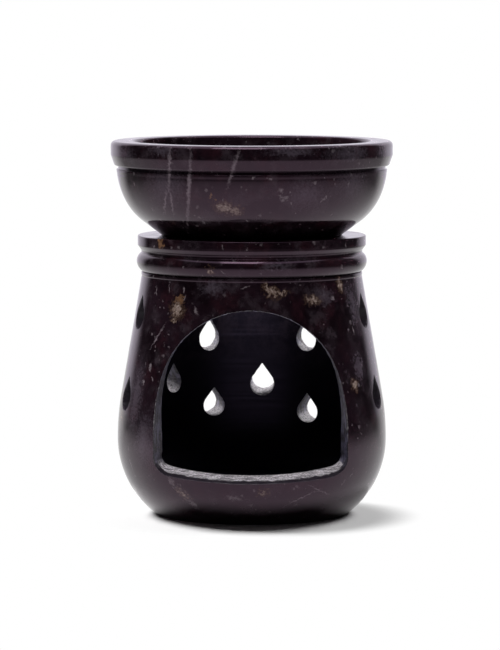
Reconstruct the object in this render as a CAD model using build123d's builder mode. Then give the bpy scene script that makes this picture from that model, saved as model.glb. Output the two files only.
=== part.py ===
"""Stone oil burner: a hollow, waisted body with a window and drop-shaped vents, and a loose dish that rests on its mouth."""

from build123d import *
from math import acos, cos, degrees, radians, sin
import os

# The foot stands on Z = 0, the turning axis is Z and the window faces -Y.
# All lengths are in millimetres.

# Body, from the foot up to the neck
foot_radius = 28.3
foot_round = 1.0
belly_radius = 39.7
belly_height = 22.5
flank_draw = 1.15
flank_height = 35.7
neck_radius = 32.5
neck_height = 70.6

# Mouldings above the neck, each one's height and how far it stands out from the neck
fillet_height = 1.1
fillet_proud = 0.08
fillet_groove = 0.14
bead_rise = 3.2
bead_fall = 2.4
bead_proud = 1.45
bead_undercut = 0.4
groove_height = 0.8
groove_proud = 0.1
collar_chamfer = 1.45
collar_height = 4.35
collar_proud = 1.15
collar_round = 0.3

# Chamber for the candle; its wall is thick at the belly and thin from upper_wall_height up
wall = 6.5
upper_wall = 3.0
upper_wall_height = 50.0
floor_thickness = 10.0
floor_radius = 24.0
mouth_radius = 22.6
mouth_chamfer = 0.5
throat_height = 5.0
dome_height = 8.0

# Window, sized where its cut crosses the belly's tangent plane
window_half_width = 30.9
window_head_radius = 29.6
window_shoulder_angle = 18.3
window_top = 63.5
window_lean_height = 25.4
window_sill = 13.1
window_corner = 7.5
window_taper = 13.0
window_cut_share = 0.7  # depth of the window's cut, as a share of the belly's radius

# Vents
vent_radius = 3.65
vent_height = 9.8
vent_rise = 12.0

# Dish
dish_height = 27.75
rim_radius = 41.55
rim_width = 6.9
rim_outer_round = 1.35
rim_inner_round = 1.0
rim_band_height = 4.1
rim_skirt_height = 2.85
rim_skirt_draw = 1.0
rim_chamfer = 0.25
rim_groove_height = 1.05
rim_groove_depth = 0.9
rim_groove_lip = 0.12
rim_ledge = 0.38
dish_depth = 22.8
dish_floor_radius = 14.0
cone_radius = 31.1
cone_height = 3.45
seat_radius = 26.5
spigot_depth = 3.5
spigot_chamfer = 0.6
spigot_clearance = 0.4

# How far a cut runs past the face that it opens
overrun = 1.0

# Where a curve's handles stand, as shares of the curve's width and height
dish_wall_start_handle_shares = (0.08, 0.42)
dish_wall_end_handle_shares = (0.63, 0.23)
dish_inside_start_handle_shares = (0.02, 0.62)
dish_inside_end_handle_share = 0.78

# Each vent's azimuth from the window, in degrees towards +X, and its height as a share of the neck's height.
# Every panel has two drops above, one between and two below.
left_panel_shares = ((-73, 0.837), (-132, 0.78), (-101, 0.66), (-73, 0.50), (-134, 0.535))
back_panel_shares = ((-157, 0.703), (150, 0.705), (174.5, 0.520), (-159, 0.431), (149.5, 0.404))
right_panel_shares = ((73, 0.845), (121, 0.80), (97, 0.67), (73, 0.507), (121, 0.50))
vent_place_shares = left_panel_shares + back_panel_shares + right_panel_shares

# Heights and radii worked out from the sizes above
flank_radius = belly_radius - flank_draw
fillet_top = neck_height + fillet_height
bead_crest = fillet_top + bead_rise
bead_top = bead_crest + bead_fall
groove_top = bead_top + groove_height
chamfer_top = groove_top + collar_chamfer
seat_level = groove_top + collar_height
bead_radius = neck_radius + bead_proud
groove_radius = neck_radius + groove_proud
collar_radius = neck_radius + collar_proud
throat_level = seat_level - throat_height
rim_level = seat_level + dish_height
spigot_radius = mouth_radius - spigot_clearance


def flank_radius_at(height):
    """Radius of the straight flank, drawn on below where the belly begins."""
    slope = (flank_radius - neck_radius) / (neck_height - flank_height)
    return neck_radius + slope * (neck_height - height)


def vent_plane(azimuth, height):
    """Plane through a vent's centre on the flank, facing outwards and up along its bore."""
    turn = radians(azimuth)
    rise = radians(vent_rise)
    radius = flank_radius_at(height)
    return Plane(
        origin=(radius * sin(turn), -radius * cos(turn), height),
        x_dir=(cos(turn), sin(turn), 0),
        z_dir=(sin(turn) * cos(rise), -cos(turn) * cos(rise), sin(rise)),
    )


# Body: one turned stone
with BuildPart() as body:
    with BuildSketch(Plane.XZ) as body_outline:
        with BuildLine():
            foot = Line((0, 0), (foot_radius, 0))
            belly_low = TangentArc((belly_radius, belly_height), foot @ 1, tangent=(0, -1))
            belly_high = TangentArc((belly_radius, belly_height), (flank_radius, flank_height), tangent=(0, 1))
            fillet_ring = Polyline(
                belly_high @ 1,
                (neck_radius, neck_height),
                (neck_radius - fillet_groove, neck_height),
                (neck_radius + fillet_proud, neck_height + fillet_groove),
                (neck_radius + fillet_proud, fillet_top),
                (neck_radius - bead_undercut, fillet_top),
            )
            bead_low = TangentArc((bead_radius, bead_crest), fillet_ring @ 1, tangent=(0, -1))
            bead_high = TangentArc((bead_radius, bead_crest), (groove_radius, bead_top), tangent=(0, 1))
            collar = Polyline(
                bead_high @ 1,
                (groove_radius, groove_top),
                (collar_radius, chamfer_top),
                (collar_radius, seat_level - collar_round),
            )
            collar_edge = TangentArc(collar @ 1, (collar_radius - collar_round, seat_level), tangent=(0, 1))
            Polyline(collar_edge @ 1, (0, seat_level), (0, 0))
        make_face()
    revolve(axis=Axis.Z)
    fillet(body.edges().group_by(Axis.Z)[0], radius=foot_round)

    with BuildSketch(Plane.XZ) as chamber_outline:
        with BuildLine():
            chamber_floor = Line((0, floor_thickness), (floor_radius, floor_thickness))
            chamber_low = TangentArc((belly_radius - wall, belly_height), chamber_floor @ 1, tangent=(0, -1))
            dome_foot = throat_level - dome_height
            chamber_side = Polyline(
                (belly_radius - wall, belly_height),
                (flank_radius_at(upper_wall_height) - upper_wall, upper_wall_height),
                (flank_radius_at(dome_foot) - upper_wall, dome_foot),
            )
            dome = TangentArc(chamber_side @ 1, (mouth_radius, throat_level), tangent=chamber_side % 1)
            Polyline(
                dome @ 1,
                (mouth_radius, seat_level - mouth_chamfer),
                (mouth_radius + mouth_chamfer + overrun, seat_level + overrun),
                (0, seat_level + overrun),
                (0, floor_thickness),
            )
        make_face()
    revolve(axis=Axis.Z, mode=Mode.SUBTRACT)

    with BuildSketch(Plane.XZ.offset(belly_radius)) as window_outline:
        with BuildLine():
            head = CenterArc(
                (0, window_top - window_head_radius),
                window_head_radius,
                window_shoulder_angle,
                90 - window_shoulder_angle,
            )
            side = TangentArc(head @ 0, (window_half_width, window_lean_height), tangent=(head % 0) * -1)
            jamb = Line(side @ 1, (window_half_width, window_sill + window_corner))
            corner = TangentArc(jamb @ 1, (window_half_width - window_corner, window_sill), tangent=(0, -1))
            Line(corner @ 1, (0, window_sill))
            mirror(about=Plane.YZ)
        make_face()
    extrude(amount=-window_cut_share * belly_radius, taper=window_taper, mode=Mode.SUBTRACT)

    for azimuth, height_share in vent_place_shares:
        plane = vent_plane(azimuth, height_share * neck_height)
        with BuildSketch(plane.offset(overrun)) as vent:
            with BuildLine():
                tip = vent_height - vent_radius
                tangent_angle = degrees(acos(vent_radius / tip))
                round_end = CenterArc((0, 0), vent_radius, 90 + tangent_angle, 360 - 2 * tangent_angle)
                Polyline(round_end @ 1, (0, tip), round_end @ 0)
            make_face()
        extrude(amount=-overrun - 2 * wall, mode=Mode.SUBTRACT)

# Dish: rests on the body's flat top, with a spigot in the mouth that keeps it in the middle
with BuildPart() as dish:
    with BuildSketch(Plane.XZ) as dish_outline:
        with BuildLine():
            spigot_end = seat_level - spigot_depth
            underside = Polyline(
                (0, spigot_end),
                (spigot_radius - spigot_chamfer, spigot_end),
                (spigot_radius, spigot_end + spigot_chamfer),
                (spigot_radius, seat_level),
                (seat_radius, seat_level),
                (cone_radius, seat_level + cone_height),
            )
            skirt_radius = rim_radius - rim_skirt_draw
            skirt_level = rim_level - rim_band_height - rim_skirt_height
            groove_roof = skirt_level - rim_chamfer
            groove_floor = groove_roof - rim_groove_height
            rim_groove_radius = skirt_radius - rim_chamfer - rim_groove_depth
            rim_outside = Polyline(
                (rim_groove_radius + rim_ledge + rim_groove_lip, groove_floor - rim_groove_lip),
                (rim_groove_radius + rim_ledge, groove_floor),
                (rim_groove_radius, groove_floor),
                (rim_groove_radius, groove_roof),
                (skirt_radius - rim_chamfer, groove_roof),
                (skirt_radius, skirt_level),
                (rim_radius, rim_level - rim_band_height),
                (rim_radius, rim_level - rim_outer_round),
            )
            low = underside @ 1
            high = rim_outside @ 0
            wall_width = high.X - low.X
            wall_height = high.Y - low.Y
            start_in, start_down = dish_wall_start_handle_shares
            end_out, end_up = dish_wall_end_handle_shares
            Bezier(
                high,
                (high.X - start_in * wall_width, high.Y - start_down * wall_height),
                (low.X + end_out * wall_width, low.Y + end_up * wall_height),
                low,
            )
            outer_round = TangentArc(rim_outside @ 1, (rim_radius - rim_outer_round, rim_level), tangent=(0, 1))
            inside_radius = rim_radius - rim_width
            rim_top = Line(outer_round @ 1, (inside_radius + rim_inner_round, rim_level))
            inner_round = TangentArc(rim_top @ 1, (inside_radius, rim_level - rim_inner_round), tangent=(-1, 0))
            dish_floor = rim_level - dish_depth
            inside_width = inside_radius - dish_floor_radius
            inside_height = dish_depth - rim_inner_round
            inside_in, inside_down = dish_inside_start_handle_shares
            inside = Bezier(
                inner_round @ 1,
                (inside_radius - inside_in * inside_width, rim_level - rim_inner_round - inside_down * inside_height),
                (dish_floor_radius + dish_inside_end_handle_share * inside_width, dish_floor),
                (dish_floor_radius, dish_floor),
            )
            Polyline(inside @ 1, (0, dish_floor), (0, spigot_end))
        make_face()
    revolve(axis=Axis.Z)

body.part.label = "burner_body"
dish.part.label = "oil_dish"

os.makedirs("parts", exist_ok=True)
export_step(body.part, "parts/burner_body.step")
export_step(dish.part, "parts/oil_dish.step")
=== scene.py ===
"""Looks of the stone oil burner: two turned stones with worn edges and hand-cut holes, in a white studio."""

from math import acos, atan2, ceil, cos, pi, radians, sin, tan

import bpy
import numpy as np
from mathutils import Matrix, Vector, noise
from mathutils.bvhtree import BVHTree


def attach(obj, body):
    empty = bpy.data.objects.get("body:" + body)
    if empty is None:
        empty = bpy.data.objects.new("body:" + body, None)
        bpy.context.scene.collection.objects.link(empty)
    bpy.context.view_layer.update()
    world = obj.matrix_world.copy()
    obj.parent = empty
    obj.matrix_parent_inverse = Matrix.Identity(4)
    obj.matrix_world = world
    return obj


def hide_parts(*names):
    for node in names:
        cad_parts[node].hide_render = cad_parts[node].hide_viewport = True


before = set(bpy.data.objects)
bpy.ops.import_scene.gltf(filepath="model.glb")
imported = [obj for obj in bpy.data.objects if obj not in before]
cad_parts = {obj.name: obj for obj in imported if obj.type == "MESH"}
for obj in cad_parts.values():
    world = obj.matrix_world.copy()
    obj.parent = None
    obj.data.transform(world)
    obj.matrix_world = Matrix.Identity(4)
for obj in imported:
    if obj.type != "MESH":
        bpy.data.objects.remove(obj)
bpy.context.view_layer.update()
scene = bpy.context.scene

# The stones are drawn in millimetres, as the solids are, and their meshes are written in metres.
MM = 0.001

# Body, from the foot up to the neck
foot_radius = 28.3
belly_radius = 39.7
belly_height = 22.5
flank_draw = 1.15
flank_height = 35.7
neck_radius = 32.5
neck_height = 70.6

# Mouldings above the neck
fillet_height = 1.1
fillet_proud = 0.08
fillet_groove = 0.14
bead_rise = 3.2
bead_fall = 2.4
bead_proud = 1.45
bead_undercut = 0.4
groove_height = 0.8
groove_proud = 0.1
collar_chamfer = 1.45
collar_height = 4.35
collar_proud = 1.15
collar_round = 0.3

# Chamber
wall = 6.5
upper_wall = 3.0
upper_wall_height = 50.0
floor_thickness = 10.0
floor_radius = 24.0
mouth_radius = 22.6
mouth_chamfer = 0.5
throat_height = 5.0
dome_height = 8.0

# Window, sized where its cut crosses the belly's tangent plane
window_half_width = 30.9
window_head_radius = 29.6
window_shoulder_angle = 18.3
window_top = 63.5
window_lean_height = 25.4
window_sill = 12.8
window_corner = 7.5
window_shift = -0.45

# How fast the window narrows inwards, in degrees: up to the wall's face, and behind it.
# Each row holds the tapers of its left, right, head and sill.
window_outer_tapers = (13, 13, 9, 9.5)
window_inner_tapers = (20, 15, 4, 13)
straight_tapers = (0, 0, 0, 0)

# Vents
vent_radius = 3.65
vent_height = 9.8

# Vents that the photo shows through the window: azimuth in degrees from the window towards +X, height as
# a share of the neck's, rise and swing of the bore in degrees, and width and height as shares of the others'
seen_vents = (
    (-133, 0.537, 14, 11, 0.78, 0.87),
    (-157, 0.706, 13, 0, 0.86, 1.02),
    (150, 0.705, 13, 0, 0.90, 1),
    (174.5, 0.520, 17, 0, 0.98, 0.95),
    (-159, 0.419, 8, 4, 0.90, 0.87),
    (149.5, 0.391, 5, 0, 0.95, 0.90),
)

# The other vents: azimuth, height and rise
left_vents = ((-73, 0.837, 12), (-132, 0.78, 12), (-101, 0.66, 12), (-73, 0.50, 10))
right_vents = ((73, 0.845, 12), (121, 0.80, 10), (97, 0.67, 14), (73, 0.507, 12), (121, 0.50, 11))

# Dish
dish_height = 27.75
rim_radius = 41.55
rim_width = 6.9
rim_outer_round = 1.35
rim_inner_round = 1.0
rim_band_height = 4.1
rim_skirt_height = 2.85
rim_skirt_draw = 1.0
rim_chamfer = 0.25
rim_groove_height = 1.05
rim_groove_depth = 0.9
rim_groove_lip = 0.12
rim_ledge = 0.38
scored_drop = 1.25
scored_width = 0.22
scored_depth = 0.05
dish_depth = 22.8
dish_floor_radius = 14.0
cone_radius = 31.1
cone_height = 3.45
seat_radius = 26.5
spigot_depth = 3.5
spigot_chamfer = 0.6
spigot_clearance = 0.4
dish_wall_start_handle_shares = (0.08, 0.42)
dish_wall_end_handle_shares = (0.63, 0.23)
dish_inside_start_handle_shares = (0.02, 0.62)
dish_inside_end_handle_share = 0.78

# Heights and radii worked out from the sizes above
flank_radius = belly_radius - flank_draw
fillet_top = neck_height + fillet_height
bead_crest = fillet_top + bead_rise
bead_top = bead_crest + bead_fall
groove_top = bead_top + groove_height
chamfer_top = groove_top + collar_chamfer
seat_level = groove_top + collar_height
bead_radius = neck_radius + bead_proud
groove_radius = neck_radius + groove_proud
collar_radius = neck_radius + collar_proud
throat_level = seat_level - throat_height
rim_level = seat_level + dish_height
spigot_radius = mouth_radius - spigot_clearance

# How finely the stones are drawn
fine_step = 0.05
profile_step = 1.2
profile_turn = radians(9)
segments = 216
curve_points = 60
head_points = 90
drop_points = 48
tiny = 1e-12

# How far corners are worn and turned faces wander
edge_wear = 0.13
relief_depth = 0.12
relief_size = 14.0
relief_height_share = 0.6
ripple_size_share = 0.3
relief_shares = (0.5, 0.4, 0.1)

# Cut faces: spacing of their points, and how far the cuts run past the wall
cut_step = 0.45
cut_rings = 12
cut_overrun = 3.0
run_out_flares = ((0, 0.1), (0.5, 0.5), (1, 1.2))
window_cap_shares = (1.4, 0.3)
vent_points = 38
drop_softness = 1.2

# Worn lips of the cuts, and how much their width changes along the edge
window_lip = 0.22
vent_lip = 0.28
lip_wave_share, lip_wave_size = 0.7, 2.5
lip_chip_share, lip_chip_size = 0.5, 0.8
lip_turn_shares = (0.35, 0.3)

# Chisel marks, which run along each bore, and how far the vents stand askew, in degrees
window_chisel = 0.16
vent_chisel = 0.10
mark_size = 0.9
mark_stretch = 0.7
grit_size = 0.45
grit_share = 0.5
vent_tilt = 4.0
tilt_stride = 1.7
tilt_seed = (0.3, 5.1)

POLISHED, HOLLOWED, CHISELLED = range(3)


def flank_radius_at(height):
    """Radius of the straight flank, drawn on below where the belly begins."""
    slope = (flank_radius - neck_radius) / (neck_height - flank_height)
    return neck_radius + slope * (neck_height - height)


def arc(start, heading, end, count=curve_points):
    """Points of the arc that leaves start along heading and ends at end."""
    start, heading, end = (np.array(v, float) for v in (start, heading, end))
    heading /= np.hypot(*heading)
    side = np.array((-heading[1], heading[0]))
    chord = end - start
    radius = chord @ chord / (2 * chord @ side)
    turn = 2 * atan2(chord @ side, chord @ heading)
    angles = np.linspace(0, turn, count)[:, None]
    return start + radius * (np.sin(angles) * heading + (1 - np.cos(angles)) * side)


def bezier(a, b, c, d):
    """Points of the cubic curve from a to d with handles b and c."""
    a, b, c, d = (np.array(v, float) for v in (a, b, c, d))
    t = np.linspace(0, 1, curve_points)[:, None]
    return (1 - t) ** 3 * a + 3 * (1 - t) ** 2 * t * b + 3 * (1 - t) * t**2 * c + t**3 * d


def joined(*pieces):
    """One outline from points and curves that follow on from each other."""
    return np.vstack([np.atleast_2d(np.array(piece, float)) for piece in pieces])


def resampled(points, step):
    """The same line with evenly spaced points, and each one's distance along it."""
    runs = np.hypot(*np.diff(points, axis=0).T)
    along = np.concatenate([[0], np.cumsum(runs)])
    places = np.linspace(0, along[-1], ceil(along[-1] / step) + 1)
    return np.column_stack([np.interp(places, along, column) for column in points.T]), places


def smoothed(points, spread):
    """Rounds the corners of a line with even points; its ends stay."""
    reach = ceil(4 * spread)
    weights = np.exp(-0.5 * (np.arange(-reach, reach + 1) / spread) ** 2)
    weights /= weights.sum()
    before = 2 * points[0] - points[reach:0:-1]
    after = 2 * points[-1] - points[-2 : -reach - 2 : -1]
    padded = np.vstack([before, points, after])
    return np.column_stack([np.convolve(column, weights, "valid") for column in padded.T])


def worn(outline):
    """A turned profile with worn corners, in the points that it needs, and their distances along it."""
    even, along = resampled(outline, fine_step)
    soft = smoothed(even, edge_wear / fine_step)
    runs = np.diff(soft, axis=0)
    headings = np.unwrap(np.arctan2(runs[:, 1], runs[:, 0]))
    bends = np.abs(np.diff(headings, prepend=headings[0]))
    need = np.concatenate([[0], np.cumsum(np.hypot(*runs.T) / profile_step + bends / profile_turn)])
    places = np.linspace(0, need[-1], ceil(need[-1]) + 1)
    points = np.column_stack([np.interp(places, need, column) for column in soft.T])
    return points, np.interp(places, need, along)


def body_outside():
    """Outline of the body from the middle of its base up to the mouth."""
    belly = (belly_radius, belly_height)
    crest = (bead_radius, bead_crest)
    collar_edge = (collar_radius, seat_level - collar_round)
    return joined(
        (0, 0),
        arc(belly, (0, -1), (foot_radius, 0))[::-1],
        arc(belly, (0, 1), (flank_radius, flank_height)),
        (neck_radius, neck_height),
        (neck_radius - fillet_groove, neck_height),
        (neck_radius + fillet_proud, neck_height + fillet_groove),
        (neck_radius + fillet_proud, fillet_top),
        arc(crest, (0, -1), (neck_radius - bead_undercut, fillet_top))[::-1],
        arc(crest, (0, 1), (groove_radius, bead_top)),
        (groove_radius, groove_top),
        (collar_radius, chamfer_top),
        arc(collar_edge, (0, 1), (collar_radius - collar_round, seat_level)),
        (mouth_radius + mouth_chamfer, seat_level),
    )


def body_inside():
    """Outline of the body from the mouth's edge down to the middle of the chamber's floor."""
    dome_foot = throat_level - dome_height
    low = (belly_radius - wall, belly_height)
    thinned = (flank_radius_at(upper_wall_height) - upper_wall, upper_wall_height)
    dome_start = (flank_radius_at(dome_foot) - upper_wall, dome_foot)
    lean = (dome_start[0] - thinned[0], dome_start[1] - thinned[1])
    return joined(
        (mouth_radius, seat_level - mouth_chamfer),
        arc(dome_start, lean, (mouth_radius, throat_level))[::-1],
        thinned,
        arc(low, (0, -1), (floor_radius, floor_thickness)),
        (0, floor_thickness),
    )


def dish_underside():
    """Outline of the dish from the middle of its spigot out to its seat's edge."""
    spigot_end = seat_level - spigot_depth
    return joined(
        (0, spigot_end),
        (spigot_radius - spigot_chamfer, spigot_end),
        (spigot_radius, spigot_end + spigot_chamfer),
        (spigot_radius, seat_level),
        (seat_radius, seat_level),
    )


def dish_outside():
    """Outline of the dish from its seat up round the rim and down to the middle of its floor."""
    cone_top = np.array((cone_radius, seat_level + cone_height))
    skirt_radius = rim_radius - rim_skirt_draw
    skirt_level = rim_level - rim_band_height - rim_skirt_height
    groove_roof = skirt_level - rim_chamfer
    groove_floor = groove_roof - rim_groove_height
    groove_radius_in = skirt_radius - rim_chamfer - rim_groove_depth
    ledge_radius = groove_radius_in + rim_ledge
    wall_top = np.array((ledge_radius + rim_groove_lip, groove_floor - rim_groove_lip))
    wall_size = wall_top - cone_top
    start_in, start_down = dish_wall_start_handle_shares
    end_out, end_up = dish_wall_end_handle_shares
    side = bezier(
        cone_top,
        cone_top + (end_out * wall_size[0], end_up * wall_size[1]),
        wall_top - (start_in * wall_size[0], start_down * wall_size[1]),
        wall_top,
    )
    return joined(
        scored(side, groove_floor - scored_drop),
        (ledge_radius, groove_floor),
        (groove_radius_in, groove_floor),
        (groove_radius_in, groove_roof),
        (skirt_radius - rim_chamfer, groove_roof),
        (skirt_radius, skirt_level),
        (rim_radius, rim_level - rim_band_height),
        arc((rim_radius, rim_level - rim_outer_round), (0, 1), (rim_radius - rim_outer_round, rim_level)),
        dish_inside(),
    )


def scored(side, level):
    """An outline with a fine line scored into it at a level."""
    even, _ = resampled(side, fine_step)
    away = (even[:, 1] - level) / scored_width
    return even - np.column_stack([scored_depth * np.exp(-away**2), np.zeros(len(even))])


def dish_inside():
    """Outline of the dish's hollow from the rim's inner edge down to the middle of its floor."""
    inside_radius = rim_radius - rim_width
    inside_top = rim_level - rim_inner_round
    dish_floor = rim_level - dish_depth
    inside_width = inside_radius - dish_floor_radius
    inside_in, inside_down = dish_inside_start_handle_shares
    inside_drop = inside_down * (dish_depth - rim_inner_round)
    return joined(
        arc((inside_radius + rim_inner_round, rim_level), (-1, 0), (inside_radius, inside_top)),
        bezier(
            (inside_radius, inside_top),
            (inside_radius - inside_in * inside_width, inside_top - inside_drop),
            (dish_floor_radius + dish_inside_end_handle_share * inside_width, dish_floor),
            (dish_floor_radius, dish_floor),
        ),
        (0, dish_floor),
    )


def relief(x, y, z):
    """How far in a turned face lies at a place: hand-finished stone is never quite round."""
    mean, broad, fine = relief_shares
    wave = noise.noise(Vector((x, y, z * relief_height_share)) / relief_size)
    ripple = noise.noise(Vector((x, y, z)) / (ripple_size_share * relief_size))
    return relief_depth * (mean + broad * wave + fine * ripple)


def drawn(name, places, faces):
    """A mesh of places in millimetres."""
    mesh = bpy.data.meshes.new(name)
    mesh.from_pydata([Vector(place) * MM for place in places], [], faces)
    return mesh


def lathed(profile, zones):
    """Mesh turned from a profile that starts and ends on the axis; zones holds each run's material."""
    turns = np.arange(segments) * 2 * pi / segments
    places = [(0, 0, profile[0][1])]
    for radius, height in profile[1:-1]:
        for turn in turns:
            x, y = radius * sin(turn), -radius * cos(turn)
            inwards = 1 - relief(x, y, height) / max(radius, relief_size)
            places.append((x * inwards, y * inwards, height))
    places.append((0, 0, profile[-1][1]))

    last = len(places) - 1
    pairs = [(j, (j + 1) % segments) for j in range(segments)]
    faces = [(0, 1 + k, 1 + j) for j, k in pairs]
    for low in range(1, last - segments, segments):
        high = low + segments
        faces += [(low + j, low + k, high + k, high + j) for j, k in pairs]
    faces += [(last - segments + j, last - segments + k, last) for j, k in pairs]

    mesh = drawn("turned", places, faces)
    mesh.polygons.foreach_set("material_index", np.repeat(zones, segments).tolist())
    mesh.shade_smooth()
    return mesh


def window_edge():
    """The window's outline from the middle of its head, clockwise from the front, evenly spaced."""
    shoulder = radians(window_shoulder_angle)
    centre = window_top - window_head_radius
    start = (window_head_radius * cos(shoulder), centre + window_head_radius * sin(shoulder))
    corner = (window_half_width, window_sill + window_corner)
    right = joined(
        arc((0, window_top), (1, 0), start, head_points),
        arc(start, (sin(shoulder), -cos(shoulder)), (window_half_width, window_lean_height)),
        arc(corner, (0, -1), (window_half_width - window_corner, window_sill)),
        (0, window_sill),
    )
    left = right[::-1] * (-1, 1)
    points, _ = resampled(joined(right, left), cut_step)
    return points[:-1]


def drop_edge(wide, high):
    """A vent's outline, a drop with its tip up, clockwise from outside; wide and high stretch it."""
    tip = vent_height - vent_radius
    lean = acos(vent_radius / tip)
    turns = np.linspace(pi / 2 - lean, -3 * pi / 2 + lean, drop_points)
    round_end = vent_radius * np.column_stack([np.cos(turns), np.sin(turns)])
    points, _ = resampled(joined((0, tip), round_end, (0, tip)), vent_height / vent_points)
    return smoothed(points, drop_softness)[:-1] * (wide, high)


def outwards(edge):
    """Unit normals of a closed outline that runs clockwise."""
    along = np.roll(edge, -1, axis=0) - np.roll(edge, 1, axis=0)
    normals = np.column_stack([-along[:, 1], along[:, 0]])
    return normals / np.hypot(*normals.T)[:, None]


def chiselled(place, bore, depth):
    """How far a tool mark moves a cut face at a place; the marks run along the bore."""
    across = place - bore * place.dot(bore) * mark_stretch
    marks = noise.noise(across / mark_size)
    grit = noise.noise(place / grit_size)
    return depth * (marks + grit_share * grit)


def slope_at(tapers, nu, nv):
    """How fast a cut narrows where its outline faces (nu, nv)."""
    left, right, head, sill = (tan(radians(taper)) for taper in tapers)
    side = left if nu < 0 else right
    if nv < 0:
        return side - (sill - side) * nv
    return head + (side - head) * (1 - nv) ** 2


def worn_lip(lip, place):
    """Width of a cut's worn lip at a place."""
    wave = noise.noise(place / lip_wave_size)
    chip = noise.noise(place / lip_chip_size)
    return lip * (1 + lip_wave_share * wave + lip_chip_share * chip)


def cut_stops(wear, leave):
    """How far along its line each ring of a cut lies, and how far it flares out."""
    turn_depth, turn_width = lip_turn_shares
    stops = [(-cut_overrun, cut_overrun + wear), (0, wear), (turn_depth * wear, turn_width * wear)]
    stops += [(wear + (leave - wear) * k / cut_rings, 0) for k in range(cut_rings)]
    stops += [(leave + share * cut_overrun, flare) for share, flare in run_out_flares]
    return stops


def cutter(stone, edge, axes, tapers, lip, depth):
    """Rings of a cut through the wall; edge is its outline in the plane of axes, seen from outside."""
    origin, right, up, inwards = axes
    outer_tapers, inner_tapers = tapers
    rings = [[] for _ in cut_stops(0, 0)]
    for (u, v), (nu, nv) in zip(edge, outwards(edge)):
        start = origin + right * u + up * v
        out = right * nu + up * nv
        approach = inwards - out * slope_at(outer_tapers, nu, nv)
        start += approach * (wall_ahead(stone, start - approach * belly_radius, approach) - belly_radius)
        line = inwards - out * slope_at(inner_tapers, nu, nv)
        leave = wall_ahead(stone, start + line, line) + 1
        for ring, (along, flare) in zip(rings, cut_stops(worn_lip(lip, start), leave)):
            place = start + line * along
            rough = chiselled(place, inwards, depth) if 0 < along < leave else 0
            ring.append(place + out * (flare + rough))
    return rings


def wall_ahead(stone, place, line):
    """How many steps of a line lie between a place and the next face of the body."""
    return stone.ray_cast(place * MM, line)[3] / MM / line.length


def add_rings(places, faces, rings, outer_cap, inner_cap):
    """Closes the rings of a cut into a solid, with a point beyond each end."""
    first = len(places)
    count = len(rings[0])
    places += [place for ring in rings for place in ring] + [outer_cap, inner_cap]
    outer, inner = len(places) - 2, len(places) - 1
    last = outer - count
    for j in range(count):
        k = (j + 1) % count
        faces += [(first + j, outer, first + k), (last + k, inner, last + j)]
        for low in range(first, last, count):
            high = low + count
            faces.append((low + j, low + k, high + k, high + j))


def vent_axes(azimuth, height, rise_angle, swing, tilt):
    """Origin, right, up and inwards of a vent on the flank, seen from outside."""
    turn, rise = radians(azimuth), radians(rise_angle)
    radius = flank_radius_at(height)
    origin = Vector((radius * sin(turn), -radius * cos(turn), height))
    turn += radians(swing)
    inwards = Vector((-sin(turn) * cos(rise), cos(turn) * cos(rise), -sin(rise)))
    level = Vector((cos(turn), sin(turn), 0))
    upright = level.cross(-inwards) * -1
    right = level * cos(tilt) + upright * sin(tilt)
    up = upright * cos(tilt) - level * sin(tilt)
    return origin, right, up, inwards


def add_window(stone, places, faces):
    """Adds the window's cut."""
    origin = Vector((window_shift, -belly_radius, 0))
    axes = (origin, Vector((1, 0, 0)), Vector((0, 0, 1)), Vector((0, 1, 0)))
    tapers = (window_outer_tapers, window_inner_tapers)
    rings = cutter(stone, window_edge(), axes, tapers, window_lip, window_chisel)
    middle = (window_top + window_sill) / 2
    caps = [Vector((0, -share * belly_radius, middle)) for share in window_cap_shares]
    add_rings(places, faces, rings, *caps)


def add_vent(stone, places, faces, number, vent):
    """Adds one vent's cut."""
    azimuth, share, rise, swing, wide, high = vent
    tilt = radians(vent_tilt) * noise.noise(Vector((number * tilt_stride, *tilt_seed)))
    axes = vent_axes(azimuth, share * neck_height, rise, swing, tilt)
    tapers = (straight_tapers, straight_tapers)
    rings = cutter(stone, drop_edge(wide, high), axes, tapers, vent_lip, vent_chisel)
    origin, _, _, inwards = axes
    before = origin - inwards * 2 * cut_overrun
    behind = origin + inwards * (wall + 2 * cut_overrun)
    add_rings(places, faces, rings, before, behind)


def cuts_mesh(stone):
    """One mesh with the window's cut and every vent's cut."""
    places, faces = [], []
    add_window(stone, places, faces)
    alike = tuple((*vent, 0.0, 1.0, 1.0) for vent in left_vents + right_vents)
    for number, vent in enumerate(seen_vents + alike):
        add_vent(stone, places, faces, number, vent)
    mesh = drawn("cuts", places, faces)
    mesh.polygons.foreach_set("material_index", [CHISELLED] * len(faces))
    return mesh


def added(name, mesh):
    """A new object in the scene."""
    thing = bpy.data.objects.new(name, mesh)
    scene.collection.objects.link(thing)
    return thing


def add_slots(mesh):
    """Gives a mesh an empty slot for each of the stone's materials."""
    for _ in (POLISHED, HOLLOWED, CHISELLED):
        mesh.materials.append(None)


def cut_body(turned):
    """The turned body with its window and vents cut out of it."""
    stone = BVHTree.FromPolygons([v.co for v in turned.vertices], [p.vertices for p in turned.polygons])
    blank = added("blank", turned)
    cuts = added("cuts", cuts_mesh(stone))
    add_slots(turned)
    add_slots(cuts.data)
    difference = blank.modifiers.new("cut", "BOOLEAN")
    difference.operation = "DIFFERENCE"
    difference.solver = "MANIFOLD"
    difference.object = cuts
    difference.material_mode = "INDEX"
    view = bpy.context.evaluated_depsgraph_get()
    mesh = bpy.data.meshes.new_from_object(blank.evaluated_get(view))
    bpy.data.objects.remove(blank)
    bpy.data.objects.remove(cuts)
    shade_cut(mesh, turned, stone)
    write_inset(mesh)
    return mesh


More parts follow.
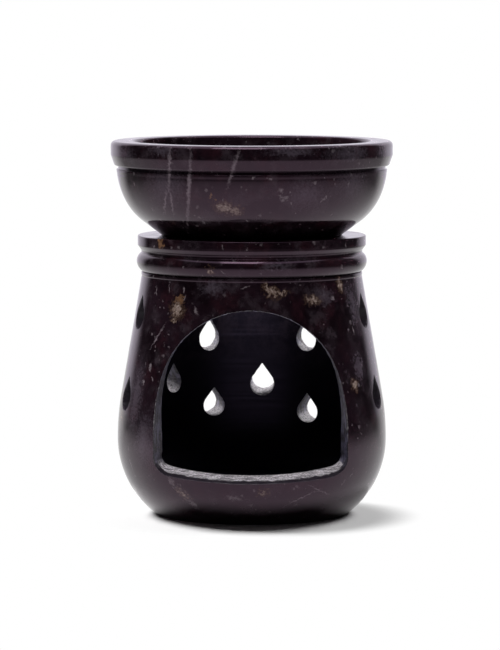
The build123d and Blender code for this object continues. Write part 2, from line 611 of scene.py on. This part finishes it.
def write_inset(mesh):
    """Writes on each corner how many millimetres it lies inside the turned outside."""
    outside = body_outside()
    outside = outside[outside[:, 1] < neck_height]
    places = [corner.co / MM for corner in mesh.vertices]
    insets = [np.interp(p.z, outside[:, 1], outside[:, 0]) - p.xy.length for p in places]
    mesh.attributes.new("inset", "FLOAT", "POINT").data.foreach_set("value", insets)


def shade_cut(mesh, turned, stone):
    """Keeps the turned faces' shading up to the cut's edge, and shades the cut faces by themselves."""
    cut_normals = [Vector() for _ in mesh.vertices]
    for face in mesh.polygons:
        if face.material_index == CHISELLED:
            for corner in face.vertices:
                cut_normals[corner] += face.normal * face.area
    turned_normals = {}
    shading = []
    for face in mesh.polygons:
        for corner in face.vertices:
            if face.material_index == CHISELLED:
                shading.append(cut_normals[corner].normalized())
                continue
            if corner not in turned_normals:
                turned_normals[corner] = turned_normal(turned, stone, mesh.vertices[corner].co)
            shading.append(turned_normals[corner])
    mesh.shade_smooth()
    mesh.normals_split_custom_set(shading)


def turned_normal(turned, stone, place):
    """Normal of the turned face at a place, blended between its corners."""
    spot, _, index, _ = stone.find_nearest(place)
    corners = [turned.vertices[v] for v in turned.polygons[index].vertices]
    blend = Vector()
    for corner in corners:
        blend += corner.normal / max((corner.co - spot).length_squared, tiny)
    return blend.normalized()


def make_body():
    """The body's piece."""
    outside, inside = body_outside(), body_inside()
    profile, along = worn(joined(outside, inside))
    edge = resampled(outside, fine_step)[1][-1]
    zones = np.where(along[1:] > edge, HOLLOWED, POLISHED)
    return added("stone_body", cut_body(lathed(profile, zones)))


def make_dish():
    """The dish's piece."""
    underside, outside = dish_underside(), dish_outside()
    profile, along = worn(joined(underside, outside))
    edge = resampled(underside, fine_step)[1][-1]
    zones = np.where(along[1:] <= edge, HOLLOWED, POLISHED)
    mesh = lathed(profile, zones)
    add_slots(mesh)
    return added("stone_dish", mesh)


body = make_body()
dish = make_dish()

# Colours of the stone and of its cut faces, in linear light
black_plum = (0.0038, 0.0015, 0.0026)
plum = (0.0115, 0.0055, 0.0088)
maroon = (0.019, 0.006, 0.009)
stone_sheen = (1, 0.66, 0.9)
grey_plum = (0.04, 0.03, 0.037)
pale = (0.25, 0.21, 0.23)
tan_stone = (0.25, 0.185, 0.158)
cream = (0.46, 0.4, 0.37)
rust = (0.06, 0.034, 0.022)
orange_brown = (0.2, 0.105, 0.055)
vein_grey = (0.26, 0.21, 0.24)
# Grey of the haze marks: partly the stone's hazy polish, partly painted light and painted reflection on the
# sides
haze_and_side_light_grey = (0.11, 0.09, 0.115)
# The chamber's dark stone, bare low down as painted shade; its grey clouds, shown only high up, are painted
# light
dark_stone_and_shade = (0.0012, 0.001, 0.0025)
chamber_painted_light_grey = (0.12, 0.088, 0.12)
chamber_sheen = (0.6, 0.48, 0.8)
cut_dark = (0.018, 0.013, 0.02)
cut_blue = (0.175, 0.165, 0.265)
vent_dust = (0.42, 0.4, 0.42)
window_dust = (0.8, 0.75, 0.8)

# Layers of grain: size in millimetres, detail and roughness
cloud_grain = (16, 3, 0.5)
red_grain = (7, 4, 0.6)
haze_grain = (5, 5, 0.6)
mottle_grain = (1.3, 3, 0.5)
sprinkle_grain = (9, 3, 0.5)
patch_grain = (9, 3, 0.6)
crumb_grain = (0.6, 4, 0.7)
dull_grain = (5, 4, 0.5)
wave_grain = (2.4, 3, 0.6)
ring_grain = (0.35, 2, 0.5)
chamber_grain = (5, 5, 0.65)
chamber_ring_grain = (0.7, 3, 0.5)
streak_grain = (0.9, 3, 0.6)
chip_grain = (1.2, 3, 0.5)
cut_crumb_grain = (0.6, 4, 0.65)
uneven_grain = (1.6, 3, 0.5)
scrape_grain = (1.3, 3, 0.5)
noise_middle = 0.5

# From which to which value of its grain each layer comes in, and how far it covers there
cloud_range = (0.38, 0.62)
red_range = (0.46, 0.72)
haze_range = (0.46, 0.76, 0, 0.8)
mottle_range = (0.48, 0.66, 0, 0.5)
sprinkle_range = (0.46, 0.6, 0.1, 1)

# Pale specks: size of the cells that hold them, the share of the cells that do, and their soft edge
speck_size = 2.6
speck_share = 0.09
fine_speck_size = 1.4
fine_speck_share = 0.22
speck_chances = (0.99, 1.02)
speck_range = (0.3, 0.05, 0, 0.45)

# How far marks fray and crumble, and how deep they reach into the stone
outline_step = 1.0
fray_size = 1.1
fray_detail = 3.0
patch_fray = 4.8
line_fray = 1.4
crumb_strength = 2.4
vein_crumb_share = 0.5
mark_depth = 2.6
sheet_depth = 30.0
haze_and_side_light_depth = 6.0

# From which to which nearness each kind of mark comes in, and how far it covers there
# The haze marks are partly hazy polish and partly painted light on the sides
haze_and_side_light_range = (-0.4, 1.2, 0, 0.5)
vein_range = (0, 0.9, 0, 0.7)
pale_mark_range = (0, 1, 0, 0.65)
brown_mark_range = (-0.2, 0.6, 0, 0.8)
rust_range = (-0.8, 0.2, 0, 0.7)
tan_range = (0, 0.7, 0, 0.85)
cream_range = (0.6, 1.4)

# Tan patches that the noise scatters over the sides and the back: their level, and where they stop
patch_level = 0.66
patch_contrast = 9.0
patch_fronts = (-20, -8, -3, 0)
patch_heights = (100, 104, 0, -3)

# Polish: its waves and turning marks, in millimetres, and its roughness
ring_stretch = (0.03, 0.03, 1)
ring_share = 0.25
polish_bump = 0.012
polish_range = (0.4, 0.7, 0.1, 0.17)
tan_dullness = 0.15
mottle_gloss = 0.04

# Chamber: where its clouds lie, the heights above which they show as painted light from above, its turning
# marks and its roughness
chamber_cloud_range = (0.36, 0.66)
chamber_painted_light_heights = (38, 64)
chamber_ring_stretch = (0.02, 0.02, 1)
chamber_bump = 0.018
chamber_polish_range = (0.3, 0.7, 0.32, 0.48)

# Cut faces, in millimetres: the window's sides, sill, right jamb and edge, and where the rear vents begin;
# only the rear vents get dust, and the vents further forward stay dark as painted shade
window_sides = (31, 29.5)
sill_sides = (-29, -26.5)
sill_heights = (26, 22)
sill_insets = (2.2, 3)
right_sides = (0, 10)
right_heights = (34, 24)
edge_insets = (1.2, -0.2)
edge_heights = (22, 28)
scrape_insets = (0.4, 1.2)
rear_dust_front_shade = (8, 14)

# Cut faces: how the dust lies on them, how their stone is scraped, and how rough they are
sill_slopes = (0.3, 0.7)
jamb_dust = (0.25, 0.04)
streak_stretch = (0.3, 1, 1)
streak_range = (0.38, 0.58, 0.35, 1.15)
chip_range = (0.42, 0.6, 0.2, 1.2)
dust_range = (0.32, 0.62, 0.25, 1)
vent_dust_range = (-0.3, 0.7, 0.5, 1)
uneven_strength = 4.0
scrape_stretch = (1, 1, 0.4)
scrape_range = (0.42, 0.6)
cut_bump = 0.12
cut_roughness_range = (0, 0.5, 0.45, 0.95)

# Marks on the body's front: azimuth, height, tilt, half width and half height
body_tan_marks = (
    (-20.7, 74.2, 0, 1, 0.9),
    (-39.6, 62.4, 5, 2, 2.3),
    (-40.7, 59.1, 0, 1.1, 0.7),
    (10.6, 67.8, -12, 1.9, 1.1),
    (14.9, 67.8, 6, 2, 0.6),
    (8.2, 69.2, -51, 1.8, 0.7),
    (31.8, 65.4, 0, 2.3, 1.2),
    (51.2, 69.2, 0, 1.1, 2),
    (52.3, 40.2, 0, 1.4, 1.6),
    (5, 10.2, -10, 1.4, 1.1),
    (-33.4, 9.3, -45, 2, 1),
)
body_pale_marks = (
    (-14.5, 73.5, -35, 0.95, 0.28),
    (-36.5, 67.9, 10, 0.42, 1.15),
    (-35.6, 65.9, 0, 0.38, 1.2),
    (-28.6, 62.4, 25, 0.9, 1.4),
    (-53.2, 45.4, 12, 0.8, 1.5),
    (-57, 40.8, 0, 0.9, 1),
    (-50.6, 42, 30, 0.4, 0.9),
    (19, 11.3, -30, 0.75, 0.45),
    (48.7, 14, 50, 1.4, 0.5),
    (44.6, 11.8, 65, 1.6, 0.35),
    (53.2, 26.1, 0, 0.4, 0.4),
    (-56.9, 67.3, 15, 0.3, 1.6),
    (-47, 68.2, 12, 0.35, 1.4),
    (-65, 16, 15, 0.45, 2.8),
    (54.3, 80.8, 0, 0.45, 1),
    (57.4, 55.9, 20, 0.4, 1.7),
    (44.8, 65.6, 30, 1.2, 0.8),
    (-14.6, 81, 0, 0.35, 1),
    (-33.4, 9.3, -45, 5, 1.9),
    (-38, 12.6, -60, 2.6, 1.3),
    (-29.5, 6.2, -40, 3, 1.2),
    (-8, 8.6, -10, 3, 1.1),
    (0.8, 11, 0, 0.5, 0.5),
    (-3.5, 69.3, 12, 1.5, 0.3),
)
body_brown_marks = (
    (-52.1, 81.2, 0, 1.35, 1.5),
    (-38.9, 65.2, 0, 2, 1.3),
)
body_vein_sheets = (
    (14.5, 8.5, 25, 7, 0.35),
    (19.5, 10.5, -30, 5, 0.35),
    (-27.5, 54, 60, 6, 0.25),
)
# Grey haze patches, mostly on the body's sides: partly hazy polish, partly painted reflection of the bright
# room at the sides
body_haze_and_side_light_marks = (
    (62, 62, 8, 3.2, 9),
    (58, 45, 0, 3, 5),
    (-62, 36, 0, 4, 12),
    (-52, 24, 0, 6, 8),
    (38, 66, 0, 5, 2.5),
    (12, 75.5, 0, 5, 1.2),
    (-20, 69, 0, 4, 2),
)

# Marks on the dish's front
dish_tan_marks = (
    (-12.6, 92.5, -8, 2.5, 1.7),
    (-7.6, 91.5, -5, 2.1, 1.5),
    (-10.2, 92, -6, 3, 1.4),
)
dish_pale_marks = (
    (-12.5, 94.8, -5, 0.28, 1.1),
    (14.1, 95.1, 20, 1.9, 1.1),
    (12.6, 97.4, 0, 0.7, 0.9),
    (12.5, 95.8, -34, 1.6, 0.4),
    (16.3, 97.1, 0, 0.45, 0.5),
    (17.4, 93.6, -60, 0.9, 0.35),
    (32.4, 94.6, 30, 1.4, 0.8),
    (33.8, 95.4, 0, 0.4, 0.8),
    (-25.3, 89.3, 20, 0.8, 0.45),
    (-24.3, 87.9, 0, 0.5, 0.7),
    (-28, 90, 0, 0.35, 0.35),
    (0.5, 101.2, 0, 0.6, 0.5),
    (7.5, 101, -25, 1.2, 0.5),
    (20.1, 90.8, 0, 0.4, 0.35),
    (40.4, 90.1, 0, 0.35, 0.4),
    (-2.3, 88.6, -30, 0.8, 0.35),
    (-34.5, 105.5, -30, 1, 0.5),
    (27, 99.5, 30, 1, 0.6),
    (45, 99, 0, 0.5, 0.7),
)
dish_brown_marks = (
    (-17.5, 95.6, 0, 1, 0.6),
)
dish_vein_sheets = (
    (-23.7, 103.5, -3, 0.7, 8.5),
    (-25, 93.5, -6, 0.5, 5),
    (-23, 93.5, 6, 0.45, 5),
    (-18, 98, -3, 0.8, 15),
    (-5.2, 104.2, -17, 0.85, 8.5),
)
# Grey haze patches on the rim band and the dish's sides: partly hazy polish, partly painted side light
dish_haze_and_side_light_marks = (
    (66, 107.5, 0, 5, 3),
    (42, 107.5, 0, 9, 2.2),
    (16, 108.5, 0, 7, 1.2),
    (-64, 107, 0, 6, 2.5),
    (-38, 108.5, 0, 5, 1.5),
    (48, 99, 0, 7, 5),
    (24, 96, 0, 6, 4),
    (-40, 98, 0, 7, 6),
)


def empty_material(name):
    """A material without nodes, and its tree."""
    material = bpy.data.materials.new(name)
    material.use_nodes = True
    material.node_tree.nodes.clear()
    return material, material.node_tree


def add_node(tree, kind, inputs=None, **settings):
    """A node; each of its inputs takes a value or another node's output."""
    node = tree.nodes.new("ShaderNode" + kind)
    for name, value in settings.items():
        setattr(node, name, value)
    for key, value in (inputs or {}).items():
        if isinstance(value, bpy.types.NodeSocket):
            tree.links.new(value, node.inputs[key])
        else:
            node.inputs[key].default_value = value
    return node


def maths(tree, operation, a, b=0.0):
    """Result of a sum on two numbers."""
    return add_node(tree, "Math", {0: a, 1: b}, operation=operation).outputs[0]


def times(tree, share, *others):
    """Product of numbers."""
    for other in others:
        share = maths(tree, "MULTIPLY", share, other)
    return share


def vectors(tree, operation, a, b):
    """Result of a sum on two vectors."""
    return add_node(tree, "VectorMath", {0: a, 1: b}, operation=operation).outputs[0]


def length(tree, vector):
    """Length of a vector."""
    return add_node(tree, "VectorMath", {0: vector}, operation="LENGTH").outputs["Value"]


def split(tree, vector):
    """The three outputs of a vector."""
    return add_node(tree, "SeparateXYZ", {0: vector}).outputs


def step(tree, value, low, high, start=0.0, end=1.0):
    """Goes smoothly from start to end while value goes from low to high."""
    ends = {"Value": value, "From Min": low, "From Max": high, "To Min": start, "To Max": end}
    return add_node(tree, "MapRange", ends, interpolation_type="SMOOTHSTEP").outputs[0]


def grain(tree, place, size, detail, roughness):
    """Noise with features about size across."""
    inputs = {"Vector": place, "Scale": 1 / size, "Detail": detail, "Roughness": roughness}
    return add_node(tree, "TexNoise", inputs).outputs[0]


def swing_of(tree, place, look, middle, strength):
    """How far a grain swings about its middle, times a strength."""
    return times(tree, maths(tree, "SUBTRACT", grain(tree, place, *look), middle), strength)


def layer(tree, place, look, shown):
    """How far a layer of grain shows at a place."""
    return step(tree, grain(tree, place, *look), *shown)


def blend(tree, share, low, high):
    """Colour between two colours."""
    ends = [(*c, 1) if isinstance(c, tuple) else c for c in (low, high)]
    return add_node(tree, "Mix", {0: share, 6: ends[0], 7: ends[1]}, data_type="RGBA").outputs[2]


def between(tree, share, low, high):
    """Number between two numbers."""
    return add_node(tree, "Mix", {0: share, 2: low, 3: high}, data_type="FLOAT").outputs[0]


def millimetres(tree):
    """Place in the stone, in millimetres."""
    place = add_node(tree, "TexCoord").outputs["Object"]
    return vectors(tree, "MULTIPLY", place, (1 / MM, 1 / MM, 1 / MM))


def frayed(tree, place, amount):
    """A place moved by noise, so that marks get ragged edges."""
    inputs = {"Vector": place, "Scale": 1 / fray_size, "Detail": fray_detail}
    noise_colour = add_node(tree, "TexNoise", inputs).outputs[1]
    centred = vectors(tree, "SUBTRACT", noise_colour, (noise_middle,) * 3)
    return vectors(tree, "ADD", place, vectors(tree, "MULTIPLY", centred, (amount,) * 3))


def outline_radius(outline, height):
    """Greatest radius of an outline at a height."""
    even, _ = resampled(outline, outline_step)
    near = np.abs(even[:, 1] - height) < outline_step
    return even[near, 0].max()


def on_face(outline, marks, depth):
    """Marks placed by azimuth on a turned face, as (middle, turn, tilt, half sizes)."""
    spots = []
    for azimuth, height, tilt, half_width, half_height in marks:
        turn = radians(azimuth)
        radius = outline_radius(outline, height)
        middle = (radius * sin(turn), -radius * cos(turn), height)
        spots.append((middle, turn, tilt, (half_width, depth, half_height)))
    return spots


def through(sheets):
    """Veins, thin sheets in the stone from front to back, as (middle, turn, tilt, half sizes)."""
    spots = []
    for x, z, tilt, half_width, half_height in sheets:
        spots.append(((x, -sheet_depth, z), 0, tilt, (half_width, sheet_depth, half_height)))
    return spots


def nearness(tree, place, spots):
    """How far inside the nearest spot a place lies: 1 at its middle, 0 at its edge, less outside."""
    nearest = None
    for middle, turn, tilt, half_sizes in spots:
        rotation = (0, -radians(tilt), turn)
        shape = {"Vector": place, "Location": middle, "Rotation": rotation, "Scale": half_sizes}
        away = length(tree, add_node(tree, "Mapping", shape, vector_type="TEXTURE").outputs[0])
        nearest = away if nearest is None else maths(tree, "MINIMUM", nearest, away)
    return maths(tree, "SUBTRACT", 1.0, nearest)


def stone_colour(tree, place):
    """Dark plum stone with clouds, red and black mottles and pale specks, and its mottle."""
    colour = blend(tree, layer(tree, place, cloud_grain, cloud_range), black_plum, plum)
    colour = blend(tree, layer(tree, place, red_grain, red_range), colour, maroon)
    colour = blend(tree, layer(tree, place, haze_grain, haze_range), colour, grey_plum)
    mottle = layer(tree, place, mottle_grain, mottle_range)
    colour = blend(tree, mottle, colour, black_plum)
    ragged = frayed(tree, place, line_fray)
    fine = specks(tree, ragged, fine_speck_size, fine_speck_share)
    fine = times(tree, fine, layer(tree, place, sprinkle_grain, sprinkle_range))
    speck = maths(tree, "MAXIMUM", specks(tree, ragged, speck_size, speck_share), fine)
    return blend(tree, speck, colour, pale), mottle


def specks(tree, place, size, share):
    """Scattered small pale spots, in a share of the noise's cells."""
    cells = add_node(tree, "TexVoronoi", {"Vector": place, "Scale": 1 / size})
    chance = split(tree, cells.outputs["Color"])[0]
    chosen = step(tree, chance, *(end - share for end in speck_chances))
    return times(tree, chosen, step(tree, cells.outputs["Distance"], *speck_range))


def patches_elsewhere(tree, place, crumbs):
    """Nearness to the tan patches of the sides and the back, below the rim."""
    _, front, height = split(tree, place)
    behind = step(tree, front, *patch_fronts)
    below_rim = step(tree, height, *patch_heights)
    clouds = swing_of(tree, place, patch_grain, patch_level, patch_contrast)
    ragged = maths(tree, "ADD", clouds, maths(tree, "MINIMUM", behind, below_rim))
    return maths(tree, "ADD", ragged, crumbs)


def add_marks(tree, place, colour, marks, outline):
    """The stone's colour with its placed marks and scattered patches, and how far a place is tan."""
    tan_marks, pale_marks, brown_marks, haze_and_side_light_marks, vein_sheets = marks
    crumbs = swing_of(tree, place, crumb_grain, noise_middle, crumb_strength)
    vein_crumbs = times(tree, crumbs, vein_crumb_share)
    ragged = frayed(tree, place, patch_fray)
    lined = frayed(tree, place, line_fray)

    kinds = (
        # Grey haze patches: partly hazy polish, partly painted light on the sides
        (ragged, on_face(outline, haze_and_side_light_marks, haze_and_side_light_depth), crumbs, haze_and_side_light_range, haze_and_side_light_grey),
        (lined, through(vein_sheets), vein_crumbs, vein_range, vein_grey),
        (lined, on_face(outline, pale_marks, mark_depth), crumbs, pale_mark_range, pale),
        (ragged, on_face(outline, brown_marks, mark_depth), crumbs, brown_mark_range, orange_brown),
    )
    for moved, spots, crumbling, shown, paint in kinds:
        near = maths(tree, "ADD", nearness(tree, moved, spots), crumbling)
        colour = blend(tree, step(tree, near, *shown), colour, paint)

    near = maths(tree, "ADD", nearness(tree, ragged, on_face(outline, tan_marks, mark_depth)), crumbs)
    near = maths(tree, "MAXIMUM", near, patches_elsewhere(tree, place, crumbs))
    colour = blend(tree, step(tree, near, *rust_range), colour, rust)
    tan_share = step(tree, near, *tan_range)
    colour = blend(tree, tan_share, colour, tan_stone)
    return blend(tree, step(tree, near, *cream_range), colour, cream), tan_share


def polished_bump(tree, place):
    """Faint waves and turning marks of a polished face."""
    rings = grain(tree, vectors(tree, "MULTIPLY", place, ring_stretch), *ring_grain)
    rings = times(tree, rings, ring_share)
    height = maths(tree, "ADD", grain(tree, place, *wave_grain), rings)
    return bump(tree, height, polish_bump)


def bump(tree, height, depth):
    """Normal of a face with a relief of a depth in millimetres."""
    inputs = {"Height": height, "Distance": depth * MM, "Strength": 1.0}
    return add_node(tree, "Bump", inputs).outputs[0]


def finished(material, tree, inputs):
    """The material, with its shader made from inputs."""
    shader = add_node(tree, "BsdfPrincipled", inputs)
    add_node(tree, "OutputMaterial", {0: shader.outputs[0]})
    return material


def stone_material(name, marks, outline):
    """Polished stone."""
    material, tree = empty_material(name)
    place = millimetres(tree)
    colour, mottle = stone_colour(tree, place)
    colour, tan_share = add_marks(tree, place, colour, marks, outline)
    duller = times(tree, tan_share, tan_dullness)
    duller = maths(tree, "SUBTRACT", duller, times(tree, mottle, mottle_gloss))
    polish = layer(tree, place, dull_grain, polish_range)
    return finished(material, tree, {
        "Base Color": colour,
        "Roughness": maths(tree, "ADD", polish, duller),
        "Normal": polished_bump(tree, place),
        "Specular Tint": (*stone_sheen, 1),
    })


def chamber_material():
    """Turned but unpolished stone inside: dark, darkest low down as painted shade, with grey clouds only
    high up as painted light from above.
    """
    material, tree = empty_material("soapstone hollowed")
    place = millimetres(tree)
    cloud = layer(tree, place, chamber_grain, chamber_cloud_range)
    # Clouds only high up: painted light on the upper wall, painted shade below
    high = step(tree, split(tree, place)[2], *chamber_painted_light_heights)
    rings = grain(tree, vectors(tree, "MULTIPLY", place, chamber_ring_stretch), *chamber_ring_grain)
    return finished(material, tree, {
        "Base Color": blend(tree, times(tree, cloud, high), dark_stone_and_shade, chamber_painted_light_grey),
        "Roughness": step(tree, rings, *chamber_polish_range),
        "Specular Tint": (*chamber_sheen, 1),
        "Normal": bump(tree, rings, chamber_bump),
    })


def window_dust_share(tree, place, inset, on_sill):
    """How pale with dust the window's cut is: on the sill's inner strip, the jambs and the chipped edge."""
    side, _, up = split(tree, place)
    beside = step(tree, maths(tree, "ABSOLUTE", side), *window_sides)
    strip = times(tree, step(tree, side, *sill_sides), step(tree, up, *sill_heights))
    streaks = layer(tree, vectors(tree, "MULTIPLY", place, streak_stretch), streak_grain, streak_range)
    strip = times(tree, strip, step(tree, inset, *sill_insets), streaks)
    on_right = times(tree, step(tree, side, *right_sides), step(tree, up, *right_heights))
    on_jamb = times(tree, step(tree, on_right, 0.0, 1.0, *jamb_dust), beside)
    chips = layer(tree, place, chip_grain, chip_range)
    chipped = times(tree, step(tree, inset, *edge_insets), step(tree, up, *edge_heights), beside, chips)
    return maths(tree, "MAXIMUM", between(tree, on_sill, on_jamb, strip), chipped)


def ragged_inset(tree, place):
    """How far inside the turned outside a place lies, with a ragged course."""
    uneven = swing_of(tree, place, uneven_grain, noise_middle, uneven_strength)
    inset = add_node(tree, "Attribute", attribute_name="inset").outputs["Fac"]
    return maths(tree, "ADD", inset, uneven)


def scraped_share(tree, place, inset, on_sill):
    """How far the window's jambs and head are scraped blue."""
    side = split(tree, place)[0]
    scraped = layer(tree, vectors(tree, "MULTIPLY", place, scrape_stretch), scrape_grain, scrape_range)
    off_sill = maths(tree, "SUBTRACT", 1.0, on_sill)
    beside = step(tree, maths(tree, "ABSOLUTE", side), *window_sides)
    return times(tree, scraped, step(tree, inset, *scrape_insets), off_sill, beside)


def cut_material():
    """Chiselled stone: dark where it was rubbed down, pale where its dust has stayed; the side and front
    vents get no dust and stay dark as painted shade.
    """
    material, tree = empty_material("soapstone chiselled")
    place = millimetres(tree)
    # Only the rear vents get dust; the side and front vents keep the dark colour as painted shade
    behind = step(tree, split(tree, place)[1], *rear_dust_front_shade)
    upwards = split(tree, add_node(tree, "NewGeometry").outputs["Normal"])[2]
    on_sill = step(tree, upwards, *sill_slopes)
    inset = ragged_inset(tree, place)
    crumbs = grain(tree, place, *cut_crumb_grain)
    in_window = window_dust_share(tree, place, inset, on_sill)
    dust = between(tree, behind, in_window, step(tree, upwards, *vent_dust_range))
    dust = times(tree, dust, step(tree, crumbs, *dust_range))
    rubbed = blend(tree, scraped_share(tree, place, inset, on_sill), cut_dark, cut_blue)
    return finished(material, tree, {
        "Base Color": blend(tree, dust, rubbed, blend(tree, behind, window_dust, vent_dust)),
        "Roughness": step(tree, dust, *cut_roughness_range),
        "Normal": bump(tree, crumbs, cut_bump),
    })


body_marks = (body_tan_marks, body_pale_marks, body_brown_marks, body_haze_and_side_light_marks, body_vein_sheets)
dish_marks = (dish_tan_marks, dish_pale_marks, dish_brown_marks, dish_haze_and_side_light_marks, dish_vein_sheets)
hollowed = chamber_material()
chiselled_stone = cut_material()
body.data.materials[POLISHED] = stone_material("soapstone body", body_marks, body_outside())
dish.data.materials[POLISHED] = stone_material("soapstone dish", dish_marks, dish_outside())
for piece in (body, dish):
    piece.data.materials[HOLLOWED] = hollowed
    piece.data.materials[CHISELLED] = chiselled_stone

for piece, node, carrier in ((body, "burner_body", "body"), (dish, "oil_dish", "dish")):
    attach(piece, carrier)
    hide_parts(node)

# Camera
camera_distance = 1.265
camera_height = 0.165
camera_left = 0.00053
camera_pitch = 4.939
lens_share = 4301 / 650
sensor_width = 36.0
near_clip = 0.05

lens = bpy.data.cameras.new("camera")
lens.sensor_width = sensor_width
lens.lens = lens_share * sensor_width
lens.clip_start = near_clip
camera = added("camera", lens)
camera.location = (-camera_left, -camera_distance, camera_height)
camera.rotation_euler = (radians(90 - camera_pitch), 0, 0)
scene.camera = camera

# Studio: a white floor and room, dark on the camera's side where the polish mirrors it
floor_disc = 0.85
floor_points = 96
floor_white = 0.95
floor_grey = 0.45
white_centre = -0.008
white_from, white_full = 0.036, 0.051
mirror_centre = 0.010
mirror_from, mirror_full = 0.041, 0.0485
mirror_near, mirror_far = 0.08, 0.50
half_bounce = 0.5
mirror_white = 0.90
mirror_dim = 0.145
room_dark = 0.03
room_dim = 0.01
room_light = 0.04
room_white = (1, 1, 1)
room_lilac = (0.93, 0.89, 1)
dark_azimuth_cosines = (-0.85, -0.64)
dark_height_sines = (0.8, 0.7)


def front_share(tree, away):
    """1 towards the camera's side of the room and 0 behind the object."""
    x, y, _ = split(tree, away)
    squares = maths(tree, "ADD", times(tree, x, x), times(tree, y, y))
    cosine = maths(tree, "DIVIDE", times(tree, y, -1.0), maths(tree, "SQRT", squares))
    return step(tree, cosine, *dark_azimuth_cosines)


def mirroring(tree, path):
    """1 where the polish itself mirrors its surroundings, and 0 for the light that goes on from there."""
    direct = maths(tree, "LESS_THAN", path["Diffuse Depth"], half_bounce)
    return times(tree, direct, path["Is Glossy Ray"])


def distance_from(tree, place, centre):
    """How far along the floor a place lies from a point on the middle plane."""
    return length(tree, vectors(tree, "SUBTRACT", place, (0, centre, 0)))


def floor_material():
    """Matt white that fades to pure white for the camera; the polish mirrors it, dim far in front."""
    material, tree = empty_material("floor")
    place = add_node(tree, "TexCoord").outputs["Object"]
    path = add_node(tree, "LightPath").outputs
    shade = between(tree, path["Is Diffuse Ray"], floor_white, floor_grey)
    grey = add_node(tree, "CombineColor", {0: shade, 1: shade, 2: shade}).outputs[0]
    matt = add_node(tree, "BsdfDiffuse", {"Color": grey})
    white = add_node(tree, "Emission", {"Strength": 1.0})
    white_share = step(tree, distance_from(tree, place, white_centre), white_from, white_full)
    seen = times(tree, white_share, path["Is Camera Ray"])
    shown = add_node(tree, "MixShader", {0: seen, 1: matt.outputs[0], 2: white.outputs[0]})

    far = times(tree, step(tree, length(tree, place), mirror_near, mirror_far), front_share(tree, place))
    unseen = times(tree, far, maths(tree, "SUBTRACT", 1.0, path["Is Camera Ray"]))
    lit_share = step(tree, distance_from(tree, place, mirror_centre), mirror_from, mirror_full)
    glossy = times(tree, lit_share, mirroring(tree, path))
    dimmed = add_node(tree, "Emission", {"Strength": between(tree, far, mirror_white, mirror_dim)})
    mirrored = maths(tree, "MAXIMUM", unseen, glossy)
    whole = add_node(tree, "MixShader", {0: mirrored, 1: shown.outputs[0], 2: dimmed.outputs[0]})
    add_node(tree, "OutputMaterial", {0: whole.outputs[0]})
    return material


def add_floor():
    """The floor's disc."""
    mesh = bpy.data.meshes.new("floor")
    turns = np.arange(floor_points) * 2 * pi / floor_points
    ring = [Vector((floor_disc * cos(turn), floor_disc * sin(turn), 0)) for turn in turns]
    mesh.from_pydata(ring, [], [tuple(range(floor_points))])
    mesh.materials.append(floor_material())
    added("floor", mesh)


def add_room():
    """White all round for the camera; dark in front for the polish, and dim in front for matt faces."""
    world = bpy.data.worlds.new("studio")
    scene.world = world
    world.use_nodes = True
    tree = world.node_tree
    tree.nodes.clear()
    away = add_node(tree, "TexCoord").outputs["Generated"]
    low = step(tree, split(tree, away)[2], *dark_height_sines)
    dark = times(tree, front_share(tree, away), low)
    path = add_node(tree, "LightPath").outputs
    clear = maths(tree, "MAXIMUM", path["Is Camera Ray"], path["Is Transmission Ray"])
    mirrored = between(tree, dark, 1.0, room_dark)
    lighting = between(tree, dark, room_light, room_dim)
    strength = between(tree, mirroring(tree, path), lighting, mirrored)
    strength = between(tree, clear, strength, 1.0)
    tint = blend(tree, mirroring(tree, path), room_white, room_lilac)
    sky = add_node(tree, "Background", {"Color": tint, "Strength": strength})
    add_node(tree, "OutputWorld", {0: sky.outputs[0]})


add_floor()
add_room()


# Lamps: their distance from the point that they face, in metres
lamp_distance = 1.0
lamp_target = Vector((0, 0, 0.05))


def lamp(name, azimuth, elevation, size, power):
    """Soft square lamp that faces the object; azimuth runs from the front towards +X, in degrees."""
    light = bpy.data.lights.new(name, "AREA")
    light.shape = "RECTANGLE"
    light.size = light.size_y = size
    light.energy = power
    thing = added(name, light)
    turn, rise = radians(azimuth), radians(elevation)
    away = Vector((sin(turn) * cos(rise), -cos(turn) * cos(rise), sin(rise)))
    thing.location = away * lamp_distance + lamp_target
    thing.rotation_euler = away.to_track_quat("Z", "Y").to_euler()
    thing.visible_camera = False
    return thing


left_lamp = lamp("left_lamp", azimuth=-126, elevation=42, size=0.35, power=15.5)
right_lamp = lamp("right_lamp", azimuth=126, elevation=42, size=0.35, power=7.0)
top_lamp = lamp("top_lamp", azimuth=-17, elevation=67, size=0.5, power=2.7)
front_lamp = lamp("front_lamp", azimuth=0, elevation=50, size=0.4, power=4.0)
for thing in (left_lamp, right_lamp, front_lamp):
    thing.visible_glossy = False

# The lamps above and in front light only the stones, so the floor's shadow in front stays dark.
stones = bpy.data.collections.new("stones")
for piece in (body, dish):
    stones.objects.link(piece)
for thing in (top_lamp, front_lamp):
    thing.light_linking.receiver_collection = stones

scene.view_settings.view_transform = "Standard"
